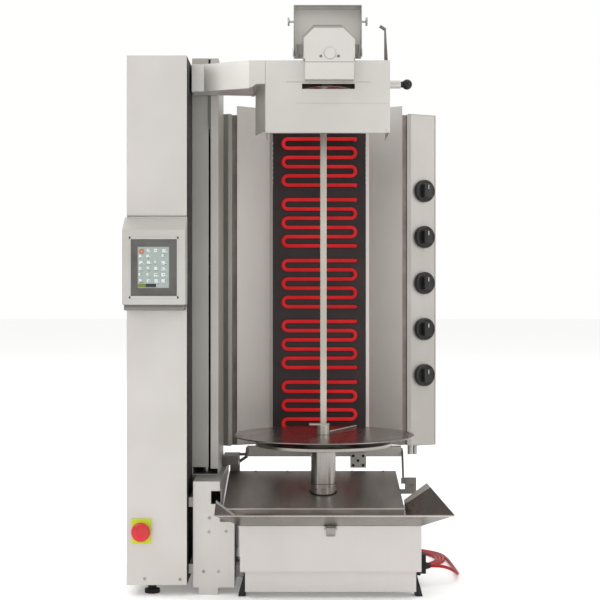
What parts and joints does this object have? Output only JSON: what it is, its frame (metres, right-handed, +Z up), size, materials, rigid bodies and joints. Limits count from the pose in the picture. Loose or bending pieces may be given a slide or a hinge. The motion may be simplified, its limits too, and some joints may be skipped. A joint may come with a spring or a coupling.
{
  "type": "vertical rotisserie broiler",
  "caption": "Electric vertical broiler: motor-driven turntable and skewer before glowing zones, with a mast-mounted powered slicing head and a control column.",
  "frame": {"origin": "bottom centre of the machine without its mains lead, on the floor", "axes": "+X to the machine's right as seen from its front, +Y to its back, +Z up"},
  "size_m": [0.7179, 0.645, 1.251],
  "materials": {
    "steel_brushed": "light brushed stainless sheet",
    "steel_tray": "brushed stainless sheet, heat-toned",
    "steel_bright": "bright-rolled stainless",
    "steel_frame": "satin grey paint",
    "steel_polished": "turned and ground stainless",
    "black_rubber": "matte rubber",
    "black_plastic": "moulded thermoset plastic",
    "screen_glass": "touch screen glass",
    "yellow_plate": "yellow plastic",
    "red_button": "red plastic",
    "aluminium_cast": "cast aluminium",
    "enamel_black": "black heatproof enamel",
    "element_glow": "red hot heating tube",
    "cord_red": "red rubber sheath"
  },
  "bodies": {
    "root": {"cabinet_shell": "steel_brushed", "base_plinth": "steel_brushed", "feet": "black_rubber", "cable_inlet": "black_plastic", "gear_motor": "aluminium_cast", "column_sleeve": "steel_bright", "shaft_bearings": "steel_polished", "tray_floor": "steel_tray", "tray_gutter": "steel_tray", "panel_screws": "steel_polished", "leg_panel": "steel_brushed", "column_casing": "steel_brushed", "column_back_cover": "steel_brushed", "control_module": "black_plastic", "screen_housing": "steel_brushed", "screen_bezel": "black_plastic", "screen_panel": "screen_glass", "estop_plate": "yellow_plate", "mast_frame": "steel_frame", "mast_panel": "steel_bright", "mast_strip": "steel_bright", "guide_rails": "steel_polished", "lift_motor": "aluminium_cast", "lift_belt": "black_rubber", "crossbar": "steel_bright", "heater_brackets": "steel_bright", "cord_lead": "cord_red", "cord_coil": "cord_red", "cord_plug": "black_plastic"},
    "turntable": {"turntable_hub": "steel_polished", "turntable_plate": "steel_polished", "skewer_clip": "steel_polished"},
    "skewer": {"skewer": "steel_polished"},
    "heater": {"heater_casing": "steel_brushed", "wing_left": "steel_bright", "wing_right": "steel_bright", "side_panel_left": "steel_bright", "knob_panel": "steel_brushed", "rotary_switches": "black_plastic", "reflector_panel": "enamel_black", "heating_elements": "element_glow"},
    "estop": {"estop_button": "red_button"},
    "latch": {"tray_latch": "steel_tray"},
    "arm": {"carriage": "steel_frame", "arm_beam": "steel_brushed", "head_cover": "steel_brushed"},
    "knife": {"knife_housing": "steel_brushed", "knife_motor": "aluminium_cast"},
    "blade": {"blade_disc": "steel_polished"},
    "hood": {"knife_hood": "steel_brushed", "thumb_screws": "steel_bright"},
    "plunger": {"lock_plunger": "black_plastic"},
    "lever": {"release_lever": "steel_bright"},
    "pulley_lower": {"lift_pulley_lower": "aluminium_cast"},
    "pulley_upper": {"lift_pulley_upper": "aluminium_cast"},
    "knob_1": {"knob_1": "black_plastic"},
    "knob_2": {"knob_2": "black_plastic"},
    "knob_3": {"knob_3": "black_plastic"},
    "knob_4": {"knob_4": "black_plastic"},
    "knob_5": {"knob_5": "black_plastic"}
  },
  "joints": [
    {"name": "turntable_spin", "type": "hinge", "parent": "root", "child": "turntable", "pos_m": [0.07275, -0.02, 0.32], "axis": [0, 0, 1], "continuous": true},
    {"name": "skewer_lift", "type": "slide", "parent": "turntable", "child": "skewer", "axis": [0, 0, 1], "range_m": [0, 0.25]},
    {"name": "heater_slide", "type": "slide", "parent": "root", "child": "heater", "axis": [0, 1, 0], "range_m": [0, 0.05]},
    {"name": "knob_1_turn", "type": "hinge", "parent": "heater", "child": "knob_1", "pos_m": [0.31105, 0.176, 0.8703], "axis": [-0.4682, 0.8836, 0], "range_deg": [0, 270]},
    {"name": "knob_2_turn", "type": "hinge", "parent": "heater", "child": "knob_2", "pos_m": [0.31105, 0.176, 0.7625], "axis": [-0.4682, 0.8836, 0], "range_deg": [0, 270]},
    {"name": "knob_3_turn", "type": "hinge", "parent": "heater", "child": "knob_3", "pos_m": [0.31105, 0.176, 0.6547], "axis": [-0.4682, 0.8836, 0], "range_deg": [0, 270]},
    {"name": "knob_4_turn", "type": "hinge", "parent": "heater", "child": "knob_4", "pos_m": [0.31105, 0.176, 0.5469], "axis": [-0.4682, 0.8836, 0], "range_deg": [0, 270]},
    {"name": "knob_5_turn", "type": "hinge", "parent": "heater", "child": "knob_5", "pos_m": [0.31105, 0.176, 0.4391], "axis": [-0.4682, 0.8836, 0], "range_deg": [0, 270]},
    {"name": "estop_push", "type": "slide", "parent": "root", "child": "estop", "axis": [0, 1, 0], "range_m": [0, 0.005], "stiffness_N_per_m": 500},
    {"name": "latch_swing", "type": "hinge", "parent": "root", "child": "latch", "pos_m": [0.08425, -0.224, 0.148], "axis": [-1, 0, 0], "range_deg": [0, 75]},
    {"name": "arm_lower", "type": "slide", "parent": "root", "child": "arm", "axis": [0, 0, -1], "range_m": [0, 0.56]},
    {"name": "knife_infeed", "type": "slide", "parent": "arm", "child": "knife", "axis": [0, -1, 0], "range_m": [0, 0.035]},
    {"name": "blade_spin", "type": "hinge", "parent": "knife", "child": "blade", "pos_m": [0.08075, -0.115, 1.06], "axis": [0, 0, 1], "continuous": true},
    {"name": "hood_tilt", "type": "hinge", "parent": "knife", "child": "hood", "pos_m": [0.08125, -0.06, 1.152], "axis": [1, 0, 0], "range_deg": [0, 20]},
    {"name": "plunger_pull", "type": "slide", "parent": "arm", "child": "plunger", "axis": [1, 0, 0], "range_m": [0, 0.008], "stiffness_N_per_m": 400},
    {"name": "lever_swing", "type": "hinge", "parent": "arm", "child": "lever", "pos_m": [0.20435, -0.12, 1.121], "axis": [0, 1, 0], "range_deg": [-30, 30]},
    {"name": "lower_pulley_spin", "type": "hinge", "parent": "root", "child": "pulley_lower", "pos_m": [-0.18375, 0.098, 0.33], "axis": [1, 0, 0], "range_deg": [0, 1658.9]},
    {"name": "upper_pulley_spin", "type": "hinge", "parent": "root", "child": "pulley_upper", "pos_m": [-0.18375, 0.098, 1.096], "axis": [1, 0, 0], "range_deg": [0, 1658.9]}
  ],
  "couplings": [
    {"joint": "lower_pulley_spin", "follows": "arm_lower", "rad_per_m": 51.546},
    {"joint": "upper_pulley_spin", "follows": "arm_lower", "rad_per_m": 51.546}
  ]
}
